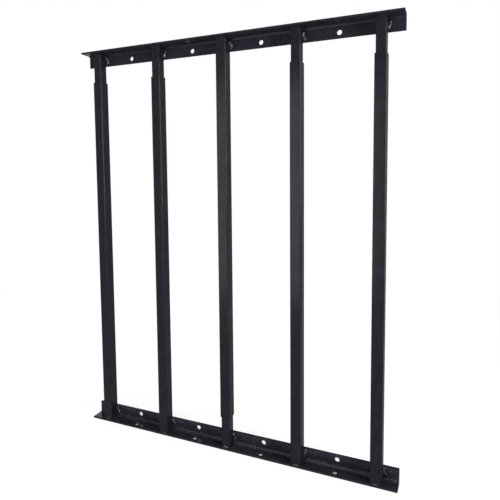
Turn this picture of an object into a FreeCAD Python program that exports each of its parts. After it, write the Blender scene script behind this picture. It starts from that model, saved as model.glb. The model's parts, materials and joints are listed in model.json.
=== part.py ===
# Adjustable window grille: two welded steel frames that telescope into each other.
# Millimetres, +Z up, +X to the viewer's right, +Y away from the viewer.
# The origin lies on the bars' centre plane, under the middle of the bottom rail.
import FreeCAD
import Part
import Sketcher
import os

doc = FreeCAD.newDocument("WindowGrille")
sheet = doc.addObject("Spreadsheet::Sheet", "Sizes")

# Driving sizes, each set by itself
driving = {
    # bars across the window
    "bar_count": 5,
    "bar_pitch": 133,
    "end_overhang": 34,
    # larger tube of each bar
    "outer_size": 19,
    "outer_wall": 1.2,
    "outer_corner_radius": 2,
    # smaller tube that slides in it
    "slide_clearance": 0.3,
    "inner_wall": 1.2,
    "inner_corner_radius": 1.6,
    "inner_tube_length": 719,
    # from the larger tube's open end to the far rail, when the halves are pushed right together
    "closed_gap": 55,
    # rolled angle of the two rails
    "angle_thickness": 3,
    "toe_ledge": 3,
    "root_radius": 3.5,
    "toe_radius": 1,
    # screw holes, one in each leg in each bay
    "hole_diameter": 8,
    "hole_toe_distance": 9,
    # corner ground off the tube ends so that they seat clear of the angle's root
    "root_clearance": 0.3,
    # weld beads beside the bars
    "bead_leg": 6,
    "bead_bite": 2,
    "bead_face_radius": 6,
    "bead_end_margin": 2,
    # short weld at the front foot of the bars
    "tack_length": 12,
    "tack_rise": 2.4,
    "tack_margin": 0.2,
    "tack_face_radius": 3,
}

# Sizes that follow from the driving ones
derived = {
    "rail_length": "(bar_count - 1) * bar_pitch + 2 * end_overhang",
    "angle_leg": "angle_thickness + outer_size + toe_ledge",
    "inner_size": "outer_size - 2 * outer_wall - 2 * slide_clearance",
    "outer_bore": "outer_size - 2 * outer_wall",
    "inner_bore": "inner_size - 2 * inner_wall",
    "outer_bore_radius": "max(outer_corner_radius - outer_wall; outer_wall / 6)",
    "inner_bore_radius": "max(inner_corner_radius - inner_wall; inner_wall / 6)",
    "outer_half": "outer_size / 2",
    "inner_half": "inner_size / 2",
    "outer_tube_length": "inner_tube_length - closed_gap",
    "closed_height": "inner_tube_length + 2 * angle_thickness",
    "heel_depth": "outer_half + angle_thickness",
    "hole_gauge": "angle_leg - hole_toe_distance",
    "hole_span": "(bar_count - 2) * bar_pitch",
    "first_hole_offset": "hole_span / 2",
    "first_bar_offset": "(bar_count - 1) * bar_pitch / 2",
    "root_cut": "root_radius + root_clearance",
    "bead_base": "angle_thickness + root_radius",
    "bead_length": "angle_leg - bead_end_margin - bead_base",
    "outer_bead_rise": "outer_corner_radius + bead_bite",
    "inner_bead_rise": "outer_half - inner_half + inner_corner_radius + bead_bite",
    "tack_leg": "toe_ledge - toe_radius - tack_margin",
}


def fill_sheet():
    row = 0
    for alias, value in driving.items():
        row += 1
        sheet.set(f"A{row}", alias)
        sheet.set(f"B{row}", str(value))
        sheet.setAlias(f"B{row}", alias)
    for alias, formula in derived.items():
        row += 1
        sheet.set(f"A{row}", alias)
        sheet.set(f"B{row}", "=" + formula)
        sheet.setAlias(f"B{row}", alias)
    doc.recompute()


def size(alias):
    return float(getattr(sheet, alias))


def origin_feature(body, role):
    return next(part for part in body.Origin.OriginFeatures if part.Role == role)


def new_sketch(body, name, plane):
    sketch = body.newObject("Sketcher::SketchObject", name)
    sketch.AttachmentSupport = [(origin_feature(body, plane), "")]
    sketch.MapMode = "FlatFace"
    return sketch


def bind(sketch, name, constraint, alias):
    number = sketch.addConstraint(constraint)
    sketch.renameConstraint(number, name)
    sketch.setExpression("Constraints." + name, "Sizes." + alias)


def point(x, y):
    return FreeCAD.Vector(x, y, 0)


def arc_between(start, end, radius, centre_side):
    # The shorter arc from start to end, with its centre on the side of the given point
    chord = end - start
    middle = (start + end) * 0.5
    normal = point(-chord.y, chord.x).normalize()
    if normal.dot(centre_side - middle) < 0:
        normal = normal * -1
    reach = (radius ** 2 - (chord.Length / 2) ** 2) ** 0.5
    crown = middle + normal * (reach - radius)
    # Sketch arcs run anticlockwise
    clockwise = (start - crown).cross(end - crown).z > 0
    return Part.Arc(end, crown, start) if clockwise else Part.Arc(start, crown, end)


# A square with rounded corners about the sketch's origin, its width and corner radius bound to the sheet
def rounded_square(sketch, prefix, width, radius):
    half = size(width) / 2
    corner = size(radius)
    flat = half - corner
    bend = corner * (1 - 0.5 ** 0.5)
    first = sketch.GeometryCount
    turn = FreeCAD.Rotation(FreeCAD.Vector(0, 0, 1), 90)
    points = [point(-flat, -half), point(flat, -half), point(half - bend, bend - half), point(half, -flat)]
    for side in range(4):
        sketch.addGeometry(Part.LineSegment(points[0], points[1]))
        sketch.addGeometry(Part.Arc(points[1], points[2], points[3]))
        points = [turn.multVec(each) for each in points]
    bottom, right, top, left = first, first + 2, first + 4, first + 6
    arcs = [first + 1, first + 3, first + 5, first + 7]
    for side in range(4):
        line = first + 2 * side
        following = first + (2 * side + 2) % 8
        sketch.addConstraint(Sketcher.Constraint("Tangent", line, 2, line + 1, 1))
        sketch.addConstraint(Sketcher.Constraint("Tangent", line + 1, 2, following, 1))
    for line in (bottom, top):
        sketch.addConstraint(Sketcher.Constraint("Horizontal", line))
    for line in (left, right):
        sketch.addConstraint(Sketcher.Constraint("Vertical", line))
    for arc in arcs[1:]:
        sketch.addConstraint(Sketcher.Constraint("Equal", arcs[0], arc))
    sketch.addConstraint(Sketcher.Constraint("Symmetric", arcs[0], 3, arcs[2], 3, -1, 1))
    bind(sketch, prefix + "_radius", Sketcher.Constraint("Radius", arcs[0], corner), radius)
    bind(sketch, prefix + "_width", Sketcher.Constraint("DistanceX", left, 1, right, 1, 2 * half), width)
    bind(sketch, prefix + "_depth", Sketcher.Constraint("DistanceY", bottom, 1, top, 1, 2 * half), width)


# A weld section: two straight legs that meet in a corner, closed by a bulging face.
# outward is the way each leg runs from the corner, +1 or -1 along the sketch's axes.
def bead_section(sketch, corner_x, corner_y, outward, leg_x, leg_y, radius):
    corner = point(outward[0] * size(corner_x), size(corner_y))
    side_end = corner + point(outward[0] * size(leg_x), 0)
    rise_end = corner + point(0, outward[1] * size(leg_y))
    along = sketch.addGeometry(Part.LineSegment(corner, side_end))
    up = sketch.addGeometry(Part.LineSegment(corner, rise_end))
    face = sketch.addGeometry(arc_between(side_end, rise_end, size(radius), corner))
    start_first = sketch.Geometry[face].StartPoint.distanceToPoint(side_end) < 1e-6
    side_tip, rise_tip = (1, 2) if start_first else (2, 1)
    sketch.addConstraint(Sketcher.Constraint("Coincident", along, 1, up, 1))
    sketch.addConstraint(Sketcher.Constraint("Coincident", along, 2, face, side_tip))
    sketch.addConstraint(Sketcher.Constraint("Coincident", up, 2, face, rise_tip))
    sketch.addConstraint(Sketcher.Constraint("Horizontal", along))
    sketch.addConstraint(Sketcher.Constraint("Vertical", up))
    if outward[0] > 0:
        place_x = Sketcher.Constraint("DistanceX", -1, 1, along, 1, size(corner_x))
    else:
        place_x = Sketcher.Constraint("DistanceX", along, 1, -1, 1, size(corner_x))
    bind(sketch, "corner_x", place_x, corner_x)
    bind(sketch, "corner_y", Sketcher.Constraint("DistanceY", -1, 1, along, 1, size(corner_y)), corner_y)
    bind(sketch, "leg_x", Sketcher.Constraint("Distance", along, size(leg_x)), leg_x)
    bind(sketch, "leg_y", Sketcher.Constraint("Distance", up, size(leg_y)), leg_y)
    bind(sketch, "face_radius", Sketcher.Constraint("Radius", face, size(radius)), radius)


def pad(body, name, sketch, length, symmetric=False):
    feature = body.newObject("PartDesign::Pad", name)
    feature.Profile = sketch
    feature.SideType = "Symmetric" if symmetric else "One side"
    feature.setExpression("Length", "Sizes." + length)
    return feature


def cut_through(body, name, sketch):
    feature = body.newObject("PartDesign::Pocket", name)
    feature.Profile = sketch
    feature.SideType = "Symmetric"
    feature.Type = "ThroughAll"
    return feature


# Each half is drawn standing on the outer face of its own rail.
# The upper half is turned over about Y, which keeps its upright leg at the back.
def set_in_frame(body, half, bar=None):
    if half == "upper":
        body.Placement.Rotation = FreeCAD.Rotation(FreeCAD.Vector(0, 1, 0), 180)
        body.setExpression("Placement.Base.z", "Sizes.closed_height")
    if bar is not None:
        body.setExpression("Placement.Base.x", f"{bar} * Sizes.bar_pitch - Sizes.first_bar_offset")


# Rolled angle with a rounded root and toes, and a row of screw holes in each leg
def make_rail(name, half):
    body = doc.addObject("PartDesign::Body", name)
    section = new_sketch(body, name + "_section", "YZ_Plane")
    thick = size("angle_thickness")
    leg = size("angle_leg")
    heel = size("heel_depth")
    root = size("root_radius")
    toe = size("toe_radius")
    face = heel - thick
    front = heel - leg
    root_centre = point(face - root, thick + root)
    upper_toe_centre = point(face + toe, leg - toe)
    front_toe_centre = point(front + toe, thick - toe)
    outline = [
        Part.LineSegment(point(heel, 0), point(heel, leg)),
        Part.LineSegment(point(heel, leg), point(face + toe, leg)),
        arc_between(point(face + toe, leg), point(face, leg - toe), toe, upper_toe_centre),
        Part.LineSegment(point(face, leg - toe), point(face, thick + root)),
        arc_between(point(face, thick + root), point(face - root, thick), root, root_centre),
        Part.LineSegment(point(face - root, thick), point(front + toe, thick)),
        arc_between(point(front + toe, thick), point(front, thick - toe), toe, front_toe_centre),
        Part.LineSegment(point(front, thick - toe), point(front, 0)),
        Part.LineSegment(point(front, 0), point(heel, 0)),
    ]
    back, upper_toe_end, upper_toe, upright, root_arc, flat, front_toe, front_end, under = [
        sketch_edge for sketch_edge in section.addGeometry(outline)
    ]

    def tip_near(edge, target):
        return 1 if section.Geometry[edge].StartPoint.distanceToPoint(target) < 1e-6 else 2

    corners = [
        ("Coincident", back, upper_toe_end, point(heel, leg)),
        ("Tangent", upper_toe_end, upper_toe, point(face + toe, leg)),
        ("Tangent", upper_toe, upright, point(face, leg - toe)),
        ("Tangent", upright, root_arc, point(face, thick + root)),
        ("Tangent", root_arc, flat, point(face - root, thick)),
        ("Tangent", flat, front_toe, point(front + toe, thick)),
        ("Tangent", front_toe, front_end, point(front, thick - toe)),
        ("Coincident", front_end, under, point(front, 0)),
        ("Coincident", under, back, point(heel, 0)),
    ]
    for kind, one, other, where in corners:
        meeting = Sketcher.Constraint(kind, one, tip_near(one, where), other, tip_near(other, where))
        section.addConstraint(meeting)
    for edge in (back, upright, front_end):
        section.addConstraint(Sketcher.Constraint("Vertical", edge))
    for edge in (upper_toe_end, flat, under):
        section.addConstraint(Sketcher.Constraint("Horizontal", edge))
    section.addConstraint(Sketcher.Constraint("PointOnObject", back, 1, -1))
    section.addConstraint(Sketcher.Constraint("Equal", upper_toe, front_toe))
    bind(section, "heel", Sketcher.Constraint("DistanceX", -1, 1, back, 1, heel), "heel_depth")
    bind(section, "upright_leg", Sketcher.Constraint("Distance", back, leg), "angle_leg")
    bind(section, "flat_leg", Sketcher.Constraint("Distance", under, leg), "angle_leg")
    bind(section, "upright_thickness", Sketcher.Constraint("DistanceX", upright, 1, back, 2, thick),
         "angle_thickness")
    bind(section, "flat_thickness", Sketcher.Constraint("DistanceY", under, 1, flat, 1, thick),
         "angle_thickness")
    bind(section, "root", Sketcher.Constraint("Radius", root_arc, root), "root_radius")
    bind(section, "toe", Sketcher.Constraint("Radius", upper_toe, toe), "toe_radius")
    pad(body, name + "_bar", section, "rail_length", symmetric=True)

    upright_hole = new_sketch(body, name + "_upright_hole", "XZ_Plane")
    flat_hole = new_sketch(body, name + "_flat_hole", "XY_Plane")
    flat_hole.setExpression("AttachmentOffset.Base.y", "Sizes.heel_depth")
    offset = size("first_hole_offset")
    gauge = size("hole_gauge")
    radius = size("hole_diameter") / 2
    for sketch, way in ((upright_hole, 1), (flat_hole, -1)):
        hole = sketch.addGeometry(Part.Circle(point(-offset, way * gauge), FreeCAD.Vector(0, 0, 1), radius))
        first, second = ((-1, 1), (hole, 3)) if way > 0 else ((hole, 3), (-1, 1))
        bind(sketch, "bore", Sketcher.Constraint("Diameter", hole, 2 * radius), "hole_diameter")
        bind(sketch, "along", Sketcher.Constraint("DistanceX", hole, 3, -1, 1, offset), "first_hole_offset")
        bind(sketch, "gauge", Sketcher.Constraint("DistanceY", *first, *second, gauge), "hole_gauge")
    doc.recompute()
    solid_volume = body.Shape.Volume
    holes = [cut_through(body, name + "_upright_drilling", upright_hole),
             cut_through(body, name + "_flat_drilling", flat_hole)]
    doc.recompute()
    row = body.newObject("PartDesign::LinearPattern", name + "_hole_row")
    row.Originals = holes
    row.Direction = (origin_feature(body, "X_Axis"), [""])
    row.setExpression("Length", "Sizes.hole_span")
    row.setExpression("Occurrences", "Sizes.bar_count - 1")
    body.Tip = row
    doc.recompute()
    drilled = solid_volume - body.Shape.Volume
    wanted = 2 * (size("bar_count") - 1) * thick * 3.141592653589793 * radius ** 2
    if abs(drilled - wanted) > 0.01 * wanted:
        raise RuntimeError(name + " screw holes are not cut through")
    set_in_frame(body, half)
    return body


# Square tube standing on its rail, with the back corner of its seated ends ground off
def make_tube(name, half, bar, kind, both_ends):
    body = doc.addObject("PartDesign::Body", name)
    section = new_sketch(body, name + "_section", "XY_Plane")
    section.setExpression("AttachmentOffset.Base.z", "Sizes.angle_thickness")
    rounded_square(section, "outside", kind + "_size", kind + "_corner_radius")
    rounded_square(section, "bore", kind + "_bore", kind + "_bore_radius")
    length = kind + "_tube_length"
    pad(body, name + "_tube", section, length)
    doc.recompute()
    ends = ("near", "far") if both_ends else ("near",)
    for end in ends:
        grind = new_sketch(body, f"{name}_{end}_corner", "YZ_Plane")
        grind.setExpression("AttachmentOffset.Base.x", f"Sizes.{kind}_half")
        seat = "Sizes.angle_thickness"
        grind.setExpression("AttachmentOffset.Base.y", seat if end == "near" else f"{seat} + Sizes.{length}")
        cut = size("root_cut")
        way = 1 if end == "near" else -1
        base = grind.addGeometry(Part.LineSegment(point(0, 0), point(-cut, 0)))
        slope = grind.addGeometry(Part.LineSegment(point(-cut, 0), point(0, way * cut)))
        wall = grind.addGeometry(Part.LineSegment(point(0, way * cut), point(0, 0)))
        grind.addConstraint(Sketcher.Constraint("Coincident", base, 1, -1, 1))
        grind.addConstraint(Sketcher.Constraint("Coincident", base, 2, slope, 1))
        grind.addConstraint(Sketcher.Constraint("Coincident", slope, 2, wall, 1))
        grind.addConstraint(Sketcher.Constraint("Coincident", wall, 2, base, 1))
        grind.addConstraint(Sketcher.Constraint("Horizontal", base))
        grind.addConstraint(Sketcher.Constraint("Vertical", wall))
        bind(grind, "depth", Sketcher.Constraint("Distance", base, cut), "root_cut")
        bind(grind, "height", Sketcher.Constraint("Distance", wall, cut), "root_cut")
        before = body.Shape.Volume
        cut_through(body, f"{name}_{end}_grind", grind)
        doc.recompute()
        if body.Shape.Volume > before - 1:
            raise RuntimeError(f"{name} {end} corner is not ground off")
    set_in_frame(body, half, bar)
    return body


# Weld bead in the corner between a tube's side and the rail's upright leg
def make_side_bead(name, half, bar, kind, side):
    body = doc.addObject("PartDesign::Body", name)
    section = new_sketch(body, name + "_section", "XY_Plane")
    section.setExpression("AttachmentOffset.Base.z", "Sizes.bead_base")
    bead_section(section, kind + "_half", "outer_half", (side, -1), "bead_leg", kind + "_bead_rise",
                 "bead_face_radius")
    pad(body, name + "_bead", section, "bead_length")
    set_in_frame(body, half, bar)
    return body


# Short weld between a tube's front face and the rail's flat leg
def make_front_tack(name, half, bar, kind):
    body = doc.addObject("PartDesign::Body", name)
    section = new_sketch(body, name + "_section", "YZ_Plane")
    bead_section(section, kind + "_half", "angle_thickness", (-1, 1), "tack_leg", "tack_rise",
                 "tack_face_radius")
    pad(body, name + "_bead", section, "tack_length", symmetric=True)
    set_in_frame(body, half, bar)
    return body


fill_sheet()
bars = int(size("bar_count"))
turned_bar = bars // 2

pieces = [make_rail("bottom_rail", "lower"), make_rail("top_rail", "upper")]
for bar in range(bars):
    number = bar + 1
    # The middle bar is the other way up: its larger tube hangs from the top rail
    lower_kind, upper_kind = ("inner", "outer") if bar == turned_bar else ("outer", "inner")
    for half, kind, rail in (("lower", lower_kind, "bottom"), ("upper", upper_kind, "top")):
        pieces.append(make_tube(f"bar_{number}_{kind}", half, bar, kind, kind == "inner"))
        right = 1 if half == "lower" else -1
        pieces.append(make_side_bead(f"weld_{rail}_{number}_right", half, bar, kind, right))
        pieces.append(make_side_bead(f"weld_{rail}_{number}_left", half, bar, kind, -right))
    pieces.append(make_front_tack(f"weld_bottom_{number}_front", "lower", bar, lower_kind))
doc.recompute()

for item in doc.Objects:
    if "Invalid" in item.State or "Error" in item.State:
        raise RuntimeError(item.Label + " failed to compute")
for piece in pieces:
    if piece.Shape.isNull() or not piece.Shape.isValid() or len(piece.Shape.Solids) != 1:
        raise RuntimeError(piece.Label + " has no sound solid")

os.makedirs("parts", exist_ok=True)
for piece in pieces:
    piece.Shape.exportStep(f"parts/{piece.Label}.step")
print(len(pieces), "pieces,", "closed height", size("closed_height"), "rail", size("rail_length"))
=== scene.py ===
import json
import math

import bmesh
import bpy
import numpy as np
from mathutils import Matrix, Vector


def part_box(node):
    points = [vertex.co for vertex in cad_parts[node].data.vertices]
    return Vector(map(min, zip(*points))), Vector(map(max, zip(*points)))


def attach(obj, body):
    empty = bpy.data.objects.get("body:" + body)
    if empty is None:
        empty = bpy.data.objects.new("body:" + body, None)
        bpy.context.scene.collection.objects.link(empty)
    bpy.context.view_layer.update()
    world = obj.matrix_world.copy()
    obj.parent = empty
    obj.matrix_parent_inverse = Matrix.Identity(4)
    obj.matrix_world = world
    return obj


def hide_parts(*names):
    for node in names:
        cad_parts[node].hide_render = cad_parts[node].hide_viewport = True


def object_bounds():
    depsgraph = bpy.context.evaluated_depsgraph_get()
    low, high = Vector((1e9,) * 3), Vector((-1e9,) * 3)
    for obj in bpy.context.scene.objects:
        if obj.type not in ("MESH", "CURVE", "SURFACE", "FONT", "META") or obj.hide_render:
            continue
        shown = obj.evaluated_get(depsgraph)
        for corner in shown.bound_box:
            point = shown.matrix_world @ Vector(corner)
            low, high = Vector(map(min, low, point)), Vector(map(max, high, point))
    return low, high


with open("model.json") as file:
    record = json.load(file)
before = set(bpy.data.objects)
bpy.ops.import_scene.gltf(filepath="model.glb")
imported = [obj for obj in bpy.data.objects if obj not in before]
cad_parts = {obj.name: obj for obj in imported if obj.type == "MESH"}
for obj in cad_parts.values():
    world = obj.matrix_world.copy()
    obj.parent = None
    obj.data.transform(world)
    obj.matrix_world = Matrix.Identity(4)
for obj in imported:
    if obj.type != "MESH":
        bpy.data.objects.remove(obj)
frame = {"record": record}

cadLow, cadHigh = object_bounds()
mm = 0.001
record = frame["record"]
bodyOf = {node: body for body, nodes in record["behaviour"]["bodies"].items() for node in nodes}
barCount = sum(node.endswith("_outer") for node in bodyOf)
print("frame loaded:", len(bodyOf), "nodes,", barCount, "bars")


# mesh helpers

mergeWithin = 0.002 * mm  # points nearer than this become one
hair = 0.01 * mm  # lengths nearer than this count as equal


# Quads of a rows x cols grid of points, closed round the columns and, if asked, round the rows too.
def gridQuads(rows, cols, closeRows=False):
    row = np.arange(rows if closeRows else rows - 1)[:, None]
    col = np.arange(cols)[None, :]
    nextRow, nextCol = (row + 1) % rows, (col + 1) % cols
    corners = [row * cols + col, row * cols + nextCol, nextRow * cols + nextCol, nextRow * cols + col]
    return np.stack(corners, axis=-1).reshape(-1, 4)


# Angles of a quarter turn in even steps, from 0 to 90 degrees.
def quarterTurn(steps):
    return np.radians(np.linspace(0, 90, steps + 1))


# Patches are (points, faces, marks). Marks give wear and sheen (1 on rims and cut edges, where paint is
# thin, and on hole bores, where the grey is a painted sheen), dust and sheen (1 where dust settles, and a
# painted sheen towards the top of the bottom rail's upright leg) and pool (1 where paint has run together).
# This puts the patches into one list.
def joinPatches(patches):
    points, faces, marks, start = [], [], {"wear": [], "dust": [], "pool": []}, 0
    for patchPoints, patchFaces, patchMarks in patches:
        points.append(patchPoints.reshape(-1, 3))
        faces += [[start + corner for corner in face] for face in patchFaces]
        for name, values in marks.items():
            values.append(np.broadcast_to(patchMarks.get(name, 0.0), patchPoints.shape[:-1]).reshape(-1))
        start += len(points[-1])
    return np.concatenate(points), faces, {name: np.concatenate(values) for name, values in marks.items()}


# One piece from its patches: points that meet are merged, and edges sharper than the angle stay sharp.
def addPiece(name, patches, node, finish, sharpAngle):
    points, faces, marks = joinPatches(patches)
    mesh = bpy.data.meshes.new(name)
    mesh.from_pydata(points.tolist(), [], faces)
    for mark, values in marks.items():
        mesh.attributes.new(mark, "FLOAT", "POINT").data.foreach_set("value", values.astype(np.float32))
    shell = bmesh.new()
    shell.from_mesh(mesh)
    bmesh.ops.remove_doubles(shell, verts=shell.verts, dist=mergeWithin)
    bmesh.ops.recalc_face_normals(shell, faces=shell.faces)
    shell.to_mesh(mesh)
    shell.free()
    mesh.polygons.foreach_set("use_smooth", np.ones(len(mesh.polygons), dtype=bool))
    mesh.set_sharp_from_angle(angle=math.radians(sharpAngle))
    mesh.materials.append(finish)
    piece = bpy.data.objects.new(name, mesh)
    bpy.context.scene.collection.objects.link(piece)
    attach(piece, bodyOf[node])
    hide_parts(node)


# shader helpers

class Wire:  # one node output; expressions on it add Math nodes
    def __init__(self, tree, socket):
        self.tree, self.socket = tree, socket

    def put(self, node, key, value):
        target = node.inputs[key]
        if isinstance(value, Wire):
            self.tree.links.new(value.socket, target)
        else:
            target.default_value = value

    def make(self, kind, settings=None, inputs=None, output=0):
        node = self.tree.nodes.new(kind)
        for key, value in (settings or {}).items():
            setattr(node, key, value)
        for key, value in (inputs or {}).items():
            self.put(node, key, value)
        return Wire(self.tree, node.outputs[output])

    def also(self, output):  # another output of the same node
        return Wire(self.tree, self.socket.node.outputs[output])

    def math(self, operation, first, second):
        return self.make("ShaderNodeMath", {"operation": operation}, {0: first, 1: second})

    def __add__(self, other):
        return self.math("ADD", self, other)

    def __radd__(self, other):
        return self.math("ADD", other, self)

    def __sub__(self, other):
        return self.math("SUBTRACT", self, other)

    def __rsub__(self, other):
        return self.math("SUBTRACT", other, self)

    def __mul__(self, other):
        return self.math("MULTIPLY", self, other)

    def __rmul__(self, other):
        return self.math("MULTIPLY", other, self)

    def larger(self, other):
        return self.math("MAXIMUM", self, other)

    def blend(self, other, share):  # this share of one value and the rest of the other
        return self * share + other * (1 - share)

    def step(self, low, high):  # smooth 0 to 1 between two values
        settings = {"interpolation_type": "SMOOTHSTEP"}
        return self.make("ShaderNodeMapRange", settings, {"Value": self, "From Min": low, "From Max": high})

    def colour(self, first, second):  # the first colour where this is 0, the second where it is 1
        settings = {"data_type": "RGBA"}
        return self.make("ShaderNodeMix", settings, {0: self, 6: first, 7: second}, 2)

    def noise(self, scale, detail, stretch=(1, 1, 1)):  # noise on this vector
        spread = self.make("ShaderNodeMapping", None, {"Vector": self, "Scale": stretch})
        return self.make("ShaderNodeTexNoise", None, {"Vector": spread, "Scale": scale, "Detail": detail})


noiseMiddle = 0.5  # the value that noise varies about


def rgb(red, green, blue):
    return (red, green, blue, 1.0)


# Black paint: a blue-black base in two tones of mottle and streaks along the steel, under a partial coat
# of gloss that is cloudy, and thicker where paint has pooled. Fine orange peel, streaks and mottle give
# the bump. Over it lie pale dust specks, a flaky film where dust settles, which towards the top of the
# bottom rail's upright leg is a painted sheen, and thin grey paint on rims and cut edges, whose grey on
# hole bores is a painted sheen.
def paintFinish(name, look):
    material = bpy.data.materials.new(name)
    material.use_nodes = True
    tree = material.node_tree
    shader = tree.nodes["Principled BSDF"]
    wire = Wire(tree, None)
    place = wire.make("ShaderNodeTexCoord", None, None, "Object")
    cloud = place.noise(look["cloudScale"], detail=3)
    mottle = place.noise(look["mottleScale"], detail=4)
    streak = place.noise(1, detail=3, stretch=look["streakStretch"])
    peel = place.noise(look["peelScale"], detail=2)
    grit = place.noise(look["gritScale"], detail=1)
    flake = place.noise(look["flakeScale"], detail=1)
    greyMark, filmMask, pooled = (
        wire.make("ShaderNodeAttribute", {"attribute_name": mark}, None, "Fac")
        for mark in ("wear", "dust", "pool"))
    speck = grit.step(*look["speckFrom"])
    # grey where paint is thin on rims and cut edges, and a painted sheen on hole bores
    thinAndSheen = greyMark * mottle.step(*look["wearFrom"]) * look["wearAmount"]
    tone = mottle.blend(streak, look["toneMix"]).step(*look["toneFrom"])
    # pale film: dust in the bottom rail's root, and a painted sheen towards the top of its upright leg
    patchy = mottle.blend(streak, look["filmMix"]).step(*look["filmFrom"]) * flake.step(*look["flakeFrom"])
    film = filmMask * patchy * look["filmAmount"]
    paint = tone.colour(rgb(*look["deep"]), rgb(*look["light"]))
    paintDustAndSheen = (speck * look["speckAmount"] + film).colour(paint, rgb(*look["dust"]))
    cloudy, streaky = cloud - noiseMiddle, streak - noiseMiddle
    rough = look["roughness"] + cloudy * look["cloudRough"] + streaky * look["streakRough"]
    gloss = look["gloss"] * (1 + cloudy * look["cloudGloss"] + streaky * look["streakGloss"])
    height = peel * look["peelDepth"] + streak * look["streakDepth"] + mottle * look["mottleDepth"]
    bump = wire.make("ShaderNodeBump", None, {"Height": height, "Strength": 1.0, "Distance": mm})
    wire.put(shader, "Base Color", thinAndSheen.colour(paintDustAndSheen, rgb(*look["bare"])))
    wire.put(shader, "Roughness", rough + speck * look["speckRough"] + thinAndSheen * look["wearRough"])
    wire.put(shader, "Coat Weight", (gloss + pooled * look["poolGloss"]) * (1 - film) * (1 - thinAndSheen))
    wire.put(shader, "Normal", bump)
    shader.inputs["Coat Roughness"].default_value = look["coatRoughness"]
    shader.inputs["Specular IOR Level"].default_value = look["specular"]
    print("finish made:", name)
    return material


barLook = {
    "deep": (0.0047, 0.0051, 0.0074), "light": (0.0076, 0.0083, 0.0116),
    "toneMix": 0.6, "toneFrom": (0.35, 0.65),  # share of mottle in the tone, and where deep turns to light
    "roughness": 0.42, "cloudRough": 0.16, "streakRough": 0.12, "specular": 0.0,
    "gloss": 0.2, "cloudGloss": 0.4, "streakGloss": 0.3, "poolGloss": 0.0, "coatRoughness": 0.2,
    "cloudScale": 14, "mottleScale": 70, "peelScale": 620, "gritScale": 900, "flakeScale": 330,
    "streakStretch": (420, 420, 9),  # long along the bars
    "peelDepth": 0.05, "streakDepth": 0.02, "mottleDepth": 0.06,  # bump heights in mm
    # colour of dust, and of the painted sheen on the bottom rail's upright leg
    "dust": (0.095, 0.10, 0.115),
    "speckFrom": (0.74, 0.77), "speckAmount": 0.25, "speckRough": 0.2,
    "filmMix": 0.5, "filmFrom": (0.3, 0.6), "flakeFrom": (0.42, 0.6), "filmAmount": 0.25,
    # grey of thin paint on rims and cut edges, also used as a painted sheen on hole bores
    "bare": (0.07, 0.072, 0.078),
    "wearFrom": (0.42, 0.62), "wearAmount": 0.6, "wearRough": 0.15,
}
# Rail paint: a copy of the bar paint whose base is lighter, a painted lift that stands in for light on the
# rails, with less gloss.
railLook = dict(
    barLook,
    deep=(0.0106, 0.0112, 0.0156), light=(0.0156, 0.0164, 0.0218),
    roughness=0.46, gloss=0.055, poolGloss=0.08, mottleDepth=0.1,
    streakStretch=(9, 420, 420),  # long along the rails
)
weldLook = dict(
    barLook,
    roughness=0.3, specular=0.5, gloss=0.3, peelDepth=0.06, mottleDepth=0.12, wearAmount=0.0,
    streakStretch=(90, 90, 90),  # alike every way
)


# Bars: one closed grid. Round it goes the rounded square of the section; along it the surface climbs the
# outside, turns over the rounded rim, goes down the bore and turns back under the other rim.
tubeShape = {
    "wall": 1.2 * mm, "corner": {"outer": 2.0 * mm, "inner": 1.6 * mm},
    "rim": 0.25 * mm,  # rounding of the sawn rims
    "rootCut": 3.8 * mm,  # corner ground off the seated ends
    "guard": 0.15 * mm,  # strip beside each rounding that keeps the flats shaded flat
    "cornerSteps": 8, "rimSteps": 4, "bodyRows": 14, "sharpAngle": 40,
}


# Rounded square with a given half width and corner radius: four quarter arcs about the corner centres, a
# guard point on the flat at each end of each arc, and one more point where the ground corner starts.
def squareLoop(half, corner, breakY):
    arc = quarterTurn(tubeShape["cornerSteps"])[None, :]
    flat = half - corner
    guarded = flat - tubeShape["guard"]
    broken = np.full_like(half, breakY)
    # for each corner its start angle and signs, then the points on the flat that follows it
    runs = ((-90, 1, -1, [half, half, half], [-guarded, broken, guarded]),
            (0, 1, 1, [guarded, -guarded], [half, half]),
            (90, -1, 1, [-half, -half, -half], [guarded, broken, -guarded]),
            (180, -1, -1, [-guarded, guarded], [-half, -half]))
    xs, ys = [], []
    for start, signX, signY, flatXs, flatYs in runs:
        turn = arc + math.radians(start)
        xs += [signX * flat + corner * np.cos(turn)] + flatXs
        ys += [signY * flat + corner * np.sin(turn)] + flatYs
    return np.hstack(xs), np.hstack(ys)


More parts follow.
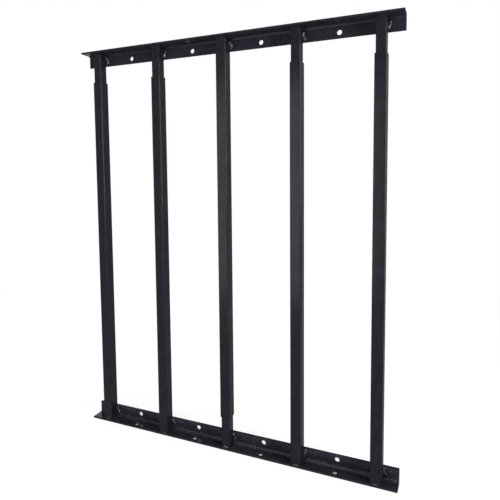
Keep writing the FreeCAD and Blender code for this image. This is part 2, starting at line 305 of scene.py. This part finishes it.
# One tube: every row is the section, drawn in or let out by an offset, at a distance along from one end.
# At a ground end the rows step back by as much as they lie behind the cut's start, which makes a 45 degree
# corner.
def tubePatch(low, high, kind, groundLow, groundHigh):
    rim, wall, corner = tubeShape["rim"], tubeShape["wall"], tubeShape["corner"][kind]
    half = (high.x - low.x) / 2
    turn = quarterTurn(tubeShape["rimSteps"])
    inset = np.append(rim * (1 - np.sin(turn)), 0)
    lift = np.append(rim * (1 - np.cos(turn)), rim + tubeShape["guard"])
    body = np.linspace(0, 1, tubeShape["bodyRows"] + 2)[1:-1] * (high.z - low.z)
    still = np.zeros_like(body)
    # up the outside, over the high rim, down the bore, under the low rim
    offset = np.concatenate([-inset, still, -inset[::-1], inset, still, inset[::-1]])
    along = np.concatenate([lift, body, lift[::-1], lift, body[::-1], lift[::-1]])
    top = np.repeat([False, False, True, True, False, False], [len(lift), len(body), len(lift)] * 2)
    outside = np.arange(len(offset)) < len(offset) // 2
    halves = (np.where(outside, half, half - wall) + offset)[:, None]
    corners = (np.where(outside, corner, corner - wall) + offset)[:, None]
    breakY = half - tubeShape["rootCut"]
    x, y = squareLoop(halves, corners, breakY)
    ground = np.clip(y - breakY, 0, None)
    fromLow = low.z + along[:, None] + ground * groundLow
    fromHigh = high.z - along[:, None] - ground * groundHigh
    z = np.where(top[:, None], fromHigh, fromLow)
    centre = (low + high) / 2
    points = np.stack([x + centre.x, y + centre.y, z], axis=-1)
    greyMark = np.where(along <= rim, 1.0, 0.0)[:, None]
    return points, gridQuads(*x.shape, closeRows=True).tolist(), {"wear": greyMark}


def makeBars(finish):
    for number in range(1, barCount + 1):
        for kind in ("outer", "inner"):
            node = f"bar_{number}_{kind}"
            standing = bodyOf[node] == "lower_frame"
            groundLow = standing or kind == "inner"  # an inner tube reaches both rails
            groundHigh = not standing or kind == "inner"
            patch = tubePatch(*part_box(node), kind, groundLow, groundHigh)
            addPiece(f"bar{number}{kind.title()}", [patch], node, finish, tubeShape["sharpAngle"])
    print("bars made:", 2 * barCount)


# Rails: the angle's outline, with its rounded root, toes and edges, carried along X. A square cell round
# each screw hole is left out of that sheet, and a funnel runs from the cell's rim on one face, through the
# hole, to the cell's rim on the other face.
railShape = {
    "thick": 3.0 * mm, "root": 3.5 * mm, "toe": 1.0 * mm, "edge": 0.35 * mm, "endRound": 0.3 * mm,
    "holeRadius": 4.0 * mm, "holeToe": 9.0 * mm, "holeRound": 0.35 * mm,
    "guard": 0.15 * mm,  # strip beside each rounding that keeps the flats shaded flat
    "film": (1.2 * mm, 2.4 * mm),  # distances from the root over which its dust ends
    "scuff": 0.9, "scuffFrom": 13 * mm, "scuffFull": 22 * mm,  # painted sheen: the bottom rail's upright leg is drawn lighter and duller towards its top
    "cell": 6.4 * mm,  # half width of the square round a hole
    "ring": 0.55,  # share of the way from that square to the hole's mouth at which a ring of points lies
    "cellSteps": 8, "arcSteps": 6, "mouthSteps": 3, "endSteps": 3, "rowStep": 24 * mm, "sharpAngle": 35,
}


# The outline in (depth, rise): depth from the heel's back face towards the viewer, rise from the outer
# face. It also gives the outward normal at each point and the columns that each hole cell spans.
def angleOutline(leg):
    thick, root, toe, edge = (railShape[key] for key in ("thick", "root", "toe", "edge"))
    steps = railShape["cellSteps"]
    hole = leg - railShape["holeToe"]
    cell = np.linspace(hole - railShape["cell"], hole + railShape["cell"], steps + 1)
    strip = np.array(railShape["film"]) + thick + root
    depth, rise, outDepth, outRise, cells = [], [], [], [], {}

    def arc(centreDepth, centreRise, radius, start, end, outward=1):
        turn = np.radians(np.linspace(start, end, railShape["arcSteps"] + 1))
        depth.append(centreDepth + radius * np.cos(turn))
        rise.append(centreRise + radius * np.sin(turn))
        outDepth.append(outward * np.cos(turn))
        outRise.append(outward * np.sin(turn))

    def flat(name, start, end, level, normal, extra=()):  # start and end: where the flat's roundings stop
        guard = math.copysign(railShape["guard"], end - start)
        run = np.sort(np.concatenate([[start + guard, end - guard], extra, cell]))
        run, entry = (run, cell[0]) if end > start else (run[::-1], cell[-1])
        first = sum(len(block) for block in depth) + int(np.argmin(np.abs(run - entry)))
        cells[name] = (first, first + steps)
        still = np.full(len(run), level)
        depth.append(still if normal[0] else run)
        rise.append(run if normal[0] else still)
        outDepth.append(np.full(len(run), normal[0]))
        outRise.append(np.full(len(run), normal[1]))

    flat("under", leg - edge, edge, 0.0, (0, -1))
    arc(edge, edge, edge, 270, 180)
    flat("back", edge, leg - edge, 0.0, (-1, 0))
    arc(edge, leg - edge, edge, 180, 90)
    arc(thick - toe, leg - toe, toe, 90, 0)
    flat("face", leg - toe, thick + root, thick, (1, 0), strip)
    arc(thick + root, thick + root, root, 180, 270, -1)
    flat("ledge", thick + root, leg - toe, thick, (0, 1), strip)
    arc(leg - toe, thick - toe, toe, 90, 0)
    arc(leg - edge, edge, edge, 0, -90)
    return [np.concatenate(part) for part in (depth, rise, outDepth, outRise)] + [cells]


# Dust, painted sheen and pooled paint at a point of the angle's section: paint lies thick in the root, dust
# settles in the bottom rail's root and on either side of it, and a painted sheen lightens the bottom rail's
# upright leg towards its top.
def railMarks(depth, rise, turned):
    thick, root, scuffFrom = railShape["thick"], railShape["root"], railShape["scuffFrom"]
    inside = np.minimum(depth, rise) > thick - hair
    past = np.maximum(depth, rise) - thick - root
    pool = np.where(inside & (past < railShape["guard"]), 1.0, 0.0)
    filmMask = np.where(inside & (past < np.mean(railShape["film"])), 1.0, 0.0)
    # painted sheen, growing towards the top of the bottom rail's upright leg
    climb = np.clip((rise - scuffFrom) / (railShape["scuffFull"] - scuffFrom), 0, 1)
    sheenedTop = np.where(inside & (depth < thick + hair), climb * railShape["scuff"], 0.0)
    return {"dust": (filmMask + sheenedTop) * (not turned), "pool": pool}


# Funnel in (along, across, through): outer square, half-way ring, rounded mouth, bore, and the same again.
# Each ring lies a share of the way from the square to a circle of some width.
def holeFunnel(thick):
    cell, steps, ring = railShape["cell"], railShape["cellSteps"], railShape["ring"]
    radius, rounding = railShape["holeRadius"], railShape["holeRound"]
    side = np.linspace(-cell, cell, steps + 1)[:-1]
    edge = np.full(steps, cell)
    squareA = np.concatenate([side, edge, -side, -edge])
    squareB = np.concatenate([-edge, side, edge, -side])
    angle = np.arctan2(squareB, squareA)
    turn = quarterTurn(railShape["mouthSteps"])
    mouth = radius + rounding * (1 - np.sin(turn))
    sunk = rounding * (1 - np.cos(turn))
    mouth = np.insert(mouth, 0, mouth[0] + railShape["guard"])
    sunk = np.insert(sunk, 0, 0.0)
    rings = [(0.0, 0.0, 0.0), (ring, mouth[0], 0.0)]
    rings += [(1.0, width, down) for width, down in zip(mouth, sunk)]
    rings += [(1.0, width, thick - down) for width, down in zip(mouth[::-1], sunk[::-1])]
    rings += [(ring, mouth[0], thick), (0.0, 0.0, thick)]
    share, width, through = (np.array(part)[:, None] for part in zip(*rings))
    along = (1 - share) * squareA + share * width * np.cos(angle)
    across = (1 - share) * squareB + share * width * np.sin(angle)
    inMouth = share > ring
    # the mouths and bores take the grey mark, a painted sheen of light on the bore walls
    greyMark = np.where(inMouth & (width < mouth[0]), 1.0, 0.0)
    pooled = np.where(inMouth & np.isclose(width, radius), 1.0, 0.0)
    return along, across, through + 0 * along, {"wear": greyMark, "pool": pooled}


# Rows along X: a rounding at each end, even steps between, and finer ones across each hole's cell. It
# gives each row's place, how far its outline is drawn in at the ends, the rows of each cell and the holes'
# places, which are midway between bars.
def railRows(low, high):
    boxes = [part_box(f"bar_{number}_outer") for number in range(1, barCount + 1)]
    barX = [(left.x + right.x) / 2 for left, right in boxes]
    holeX = [(left + right) / 2 for left, right in zip(barX, barX[1:])]
    cell, steps, rounding = railShape["cell"], railShape["cellSteps"], railShape["endRound"]
    turn = quarterTurn(railShape["endSteps"])
    endX = np.append(rounding * (1 - np.cos(turn)), rounding + railShape["guard"])
    endInset = np.append(rounding * (1 - np.sin(turn)), 0)
    rowX, cellRows = [low.x + endX], []
    reached = low.x + endX[-1]
    for centre in holeX + [None]:
        stop = high.x - endX[-1] if centre is None else centre - cell
        count = max(2, int((stop - reached) / railShape["rowStep"]))
        rowX.append(np.linspace(reached, stop, count + 1)[1:-1])
        if centre is not None:
            first = sum(len(block) for block in rowX)
            cellRows.append((first, first + steps))
            rowX.append(np.linspace(centre - cell, centre + cell, steps + 1))
            reached = centre + cell
    rowX.append(high.x - endX[::-1])
    x = np.concatenate(rowX)
    inset = np.zeros_like(x)
    inset[:len(endX)], inset[-len(endX):] = endInset, endInset[::-1]
    return x, inset, cellRows, holeX


def railPatches(low, high, turned):
    leg = high.z - low.z
    depth, rise, outDepth, outRise, cells = angleOutline(leg)
    x, inset, cellRows, holeX = railRows(low, high)
    outer = high.z if turned else low.z
    way = -1 if turned else 1

    def place(along, sunk, climb):  # rail coordinates to the frame
        return np.stack(np.broadcast_arrays(along, high.y - sunk, outer + way * climb), axis=-1)

    sheet = place(x[:, None], depth - inset[:, None] * outDepth, rise - inset[:, None] * outRise)
    rows, cols = sheet.shape[:2]
    quads = gridQuads(rows, cols).reshape(rows - 1, cols, 4)
    keep = np.ones((rows - 1, cols), dtype=bool)
    for firstRow, lastRow in cellRows:
        for firstCol, lastCol in cells.values():
            keep[firstRow:lastRow, firstCol:lastCol] = False
    caps = [list(range(cols)), list(range((rows - 1) * cols, rows * cols))]
    greyMark = np.where(inset > 0, 1.0, 0.0)[:, None]
    patches = [(sheet, quads[keep].tolist() + caps, {"wear": greyMark, **railMarks(depth, rise, turned)})]
    along, across, through, holeMarks = holeFunnel(railShape["thick"])
    centreline = leg - railShape["holeToe"]
    funnel = gridQuads(*along.shape).tolist()
    uprightMarks = {**holeMarks, "dust": railMarks(through, centreline + across, turned)["dust"]}
    for centre in holeX:
        patches.append((place(centre + along, through, centreline + across), funnel, uprightMarks))
        patches.append((place(centre + along, centreline + across, through), funnel, holeMarks))
    return patches


def makeRails(finish):
    for name, node, turned in (("bottomRail", "bottom_rail", False), ("topRail", "top_rail", True)):
        addPiece(name, railPatches(*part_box(node), turned), node, finish, railShape["sharpAngle"])
    print("rails made: 2")


# Welds: the quarter round of a fillet weld, carried along the seam. Its radius swells in a few soft lumps
# with finer ripples, the bead sways from one leg to the other and dies away at both ends. Small round drops
# of spatter lie on the rail beside it.
weldShape = {
    "seed": 14,
    "lumps": 1.5, "lumpSpread": (0.8, 1.25), "swell": 0.18, "uneven": 0.07, "lean": 0.16,
    "ripples": 6, "ripple": 0.02,
    "wander": 0.12, "wanderTurns": 0.9, "roundWander": 0.06,
    "sway": 0.25, "endPower": 4,
    "tackLumps": 0.7,  # share of the lumps on the short tacks
    "tackFull": {3: 1.0, 2: 0.75}, "tackLow": 0.5,  # how full the tacks at the bars' feet are
    "leftFull": 0.65,  # leg along the rail of the thinner runs on the bars' left sides
    "seamSteps": 64, "roundSteps": 16, "sink": 0.1 * mm, "sharpAngle": 80,
    "drops": 4, "dropRadius": (0.3 * mm, 0.75 * mm), "dropReach": (1.0 * mm, 6.5 * mm),
    "dropSeam": (0.05, 0.95), "dropHeight": 0.7, "dropSides": 10,
    "dropBase": -0.35,  # angle of the dome's lowest ring, just below the rail's face
    "dropClimb": (-90, -20, 10, 40, 70, 90),
}


# Radius over (seam, round) as a share of the weld's leg: the end taper times a sum of soft lumps that lean
# round the bead, finer ripples, and a slow wander along and round it.
def weldRadius(rng, seam, roundTurn, lumps):
    phase = rng.uniform(0, math.pi, 4)
    count = lumps * rng.uniform(*weldShape["lumpSpread"])
    whole = 2 * math.pi
    taper = np.sqrt(np.clip(1 - np.abs(2 * seam - 1) ** weldShape["endPower"], 0, 1))
    uneven = seam + weldShape["uneven"] * np.sin(whole * seam + 2 * phase[3])
    leaning = uneven - weldShape["lean"] * np.sin(2 * roundTurn + phase[1])
    hollow = 0.5 + 0.5 * np.cos(whole * count * leaning + 2 * phase[0])
    ripple = np.sin(whole * weldShape["ripples"] * leaning + phase[1])
    wander = np.sin(whole * weldShape["wanderTurns"] * seam + 2 * phase[2]) * weldShape["wander"]
    wander = wander + np.sin(3 * roundTurn + phase[3]) * weldShape["roundWander"]
    return taper * (1 - weldShape["swell"] * hollow + weldShape["ripple"] * ripple + wander)


# The bead: first and second leg times the cosine and sine of the turn round it, each leg growing as the
# other shrinks with the sway, and a root point just inside the corner that closes the loop.
def weldPatch(rng, place, length, firstLeg, secondLeg, lumps):
    seam = np.linspace(0, 1, weldShape["seamSteps"])[:, None]
    roundTurn = np.linspace(0, math.pi / 2, weldShape["roundSteps"])[None, :]
    radius = weldRadius(rng, seam, roundTurn, lumps)
    sink, most = weldShape["sink"], weldShape["sway"]
    sway = most * np.sin(2 * math.pi * (seam + rng.uniform()))
    first = radius * firstLeg * (1 - most + sway) * np.cos(roundTurn) - sink
    second = radius * secondLeg * (1 - most - sway) * np.sin(roundTurn) - sink
    root = np.full_like(seam, -sink)
    first, second = np.hstack([root, first]), np.hstack([root, second])
    return place(seam * length, first, second), gridQuads(*first.shape).tolist(), {}


# A drop: a low dome, its height a share of its radius, over a flat underside just below the rail's face.
def dropPatch(rng, place, seam, reach):
    radius = rng.uniform(*weldShape["dropRadius"])
    around = np.linspace(0, 2 * math.pi, weldShape["dropSides"], endpoint=False)[None, :]
    climb = np.radians(np.array(weldShape["dropClimb"]))[:, None]
    base = weldShape["dropBase"]
    spread = radius * np.where(climb < base, 0, np.cos(climb))
    height = radius * weldShape["dropHeight"] * np.sin(np.clip(climb, base, None))
    points = place(seam + spread * np.cos(around), reach + spread * np.sin(around), height + 0 * around)
    return points, gridQuads(len(climb), weldShape["dropSides"]).tolist(), {}


# From a weld's (seam, first leg, second leg) to the frame: a front tack runs along X with its legs towards
# the viewer and up, a side bead runs up the bar with its legs along the rail and towards the viewer.
def weldPlace(low, high, side):
    def frontPlace(seam, first, second):
        return np.stack(np.broadcast_arrays(low.x + seam, high.y - first, low.z + second), axis=-1)

    def sidePlace(seam, first, second):
        across = low.x + first if side == "right" else high.x - first
        return np.stack(np.broadcast_arrays(across, high.y - second, low.z + seam), axis=-1)

    return frontPlace if side == "front" else sidePlace


def tackPatches(rng, low, high, number):
    full = weldShape["tackFull"].get(number, weldShape["tackLow"])
    length, firstLeg, secondLeg = high.x - low.x, (high.y - low.y) * full, (high.z - low.z) * full
    lumps = weldShape["lumps"] * weldShape["tackLumps"]
    return [weldPatch(rng, weldPlace(low, high, "front"), length, firstLeg, secondLeg, lumps)]


def beadPatches(rng, low, high, side):
    full = 1.0 if side == "right" else weldShape["leftFull"]
    length, firstLeg, secondLeg = high.z - low.z, (high.x - low.x) * full, high.y - low.y
    place = weldPlace(low, high, side)
    patches = [weldPatch(rng, place, length, firstLeg, secondLeg, weldShape["lumps"])]
    for drop in range(weldShape["drops"]):
        seam = rng.uniform(*weldShape["dropSeam"]) * length
        reach = firstLeg + rng.uniform(*weldShape["dropReach"])
        patches.append(dropPatch(rng, place, seam, reach))
    return patches


def makeWelds(finish):
    rng = np.random.default_rng(weldShape["seed"])
    nodes = [node for node in sorted(bodyOf) if node.startswith("weld")]
    for node in nodes:
        weld, rail, number, side = node.split("_")
        low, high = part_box(node)
        front = side == "front"
        patches = tackPatches(rng, low, high, int(number)) if front else beadPatches(rng, low, high, side)
        name = weld + rail.title() + number + side.title()
        addPiece(name, patches, node, finish, weldShape["sharpAngle"])
    print("welds made:", len(nodes))


# Stage: a pale floor that the grille stands on, and white all round
stageLook = {
    "floorSize": 8.0, "floorDrop": 0.2 * mm,
    "floorColour": (0.9, 0.9, 0.9), "floorRoughness": 0.9,
    "floorWhite": 0.8,  # share of plain white in the floor as seen near the grille, to soften the shadow
    "whiteFrom": (0.5, 1.5),  # distances over which that share grows to all of it
    "coverEdge": 1.0 * mm,  # strip inside the bottom rail's outline over which that white ends
    "roomLevel": 0.3,  # light from all round on matt surfaces
}
lamps = {
    "keyLamp": {"spot": (2.1, -0.6, 0.8), "size": (0.8, 1.0), "power": 74},
    "frontLamp": {"spot": (-0.26, -1.0, 0.42), "size": (0.71, 0.85), "power": 7.8},
    "topLamp": {"spot": (0.0, -0.5, 2.6), "size": (1.35, 1.35), "power": 20},
    "backLamp": {"spot": (-1.4, 1.5, 0.8), "size": (0.8, 1.2), "power": 36},
}


def backdropRays(wire):  # 1 for the rays that show the backdrop: straight, mirrored or passed through
    camera = wire.make("ShaderNodeLightPath", None, None, "Is Camera Ray")
    return camera.larger(camera.also("Is Glossy Ray")).larger(camera.also("Is Transmission Ray"))


def makeFloor():
    half, drop = stageLook["floorSize"] / 2, stageLook["floorDrop"]
    mesh = bpy.data.meshes.new("floor")
    corners = [(-half, -half, -drop), (half, -half, -drop), (half, half, -drop), (-half, half, -drop)]
    mesh.from_pydata(corners, [], [(0, 1, 2, 3)])
    material = bpy.data.materials.new("paleFloor")
    material.use_nodes = True
    tree = material.node_tree
    shader = tree.nodes["Principled BSDF"]
    shader.inputs["Base Color"].default_value = rgb(*stageLook["floorColour"])
    shader.inputs["Roughness"].default_value = stageLook["floorRoughness"]
    wire = Wire(tree, None)
    place = wire.make("ShaderNodeTexCoord", None, None, "Object")
    acrossX = wire.make("ShaderNodeSeparateXYZ", None, {"Vector": place}, "X")
    reaches = [wire.math("ABSOLUTE", side, 0) for side in (acrossX, acrossX.also("Y"))]
    clearX, clearY = (
        reach.step(limit - stageLook["coverEdge"], limit) for reach, limit in zip(reaches, cadHigh))
    uncovered = clearX.larger(clearY)  # 0 under the bottom rail
    away = wire.make("ShaderNodeVectorMath", {"operation": "LENGTH"}, {0: place}, "Value")
    white = stageLook["floorWhite"] + away.step(*stageLook["whiteFrom"]) * (1 - stageLook["floorWhite"])
    glow = wire.make("ShaderNodeEmission", None, {"Color": rgb(1, 1, 1), "Strength": 1.0})
    matt = Wire(tree, shader.outputs[0])
    seen = backdropRays(wire) * uncovered * white
    mixed = wire.make("ShaderNodeMixShader", None, {0: seen, 1: matt, 2: glow})
    wire.put(tree.nodes["Material Output"], "Surface", mixed)
    mesh.materials.append(material)
    floor = bpy.data.objects.new("floor", mesh)
    bpy.context.scene.collection.objects.link(floor)
    print("floor made")


def makeRoom():
    world = bpy.data.worlds.new("whiteRoom")
    bpy.context.scene.world = world
    world.use_nodes = True
    tree = world.node_tree
    wire = Wire(tree, None)
    backdrop = tree.nodes["Background"]
    level = stageLook["roomLevel"]
    wire.put(backdrop, "Color", rgb(1, 1, 1))
    wire.put(backdrop, "Strength", level + backdropRays(wire) * (1 - level))
    print("room made")


def makeLamps():  # area lamps that all point at the middle of the grille
    target = (cadLow + cadHigh) / 2
    for name, lamp in lamps.items():
        data = bpy.data.lights.new(name, "AREA")
        data.shape = "RECTANGLE"
        data.energy, (data.size, data.size_y) = lamp["power"], lamp["size"]
        light = bpy.data.objects.new(name, data)
        light.location = lamp["spot"]
        light.rotation_euler = (target - Vector(lamp["spot"])).to_track_quat("-Z", "Y").to_euler()
        bpy.context.scene.collection.objects.link(light)
    print("lamps made:", len(lamps))


# Camera: right of the middle, a little above half height, turned left and tipped slightly down
cameraShape = {
    "spot": (0.37017, -0.68543, 0.48342), "turn": 21.7257, "tip": 4.0706, "roll": -0.2430,
    "sensor": 36.0, "lens": 32.0664, "shift": (-0.05309, -0.08001),
}


def makeCamera():
    data = bpy.data.cameras.new("viewer")
    data.sensor_width, data.lens = cameraShape["sensor"], cameraShape["lens"]
    data.shift_x, data.shift_y = cameraShape["shift"]
    turn, tip, roll = (math.radians(cameraShape[key]) for key in ("turn", "tip", "roll"))
    ahead = Vector((-math.sin(turn) * math.cos(tip), math.cos(turn) * math.cos(tip), -math.sin(tip)))
    level = Vector((math.cos(turn), math.sin(turn), 0))
    upright = level.cross(ahead)
    right = math.cos(roll) * level + math.sin(roll) * upright
    up = math.cos(roll) * upright - math.sin(roll) * level
    camera = bpy.data.objects.new("viewer", data)
    axes = Matrix((right, up, -ahead)).transposed()
    camera.matrix_world = Matrix.Translation(Vector(cameraShape["spot"])) @ axes.to_4x4()
    bpy.context.scene.collection.objects.link(camera)
    bpy.context.scene.camera = camera
    print("camera made")


bpy.context.scene.view_settings.view_transform = "Standard"
makeBars(paintFinish("barPaint", barLook))
makeRails(paintFinish("railPaint", railLook))
makeWelds(paintFinish("weldPaint", weldLook))
makeFloor()
makeRoom()
makeLamps()
makeCamera()
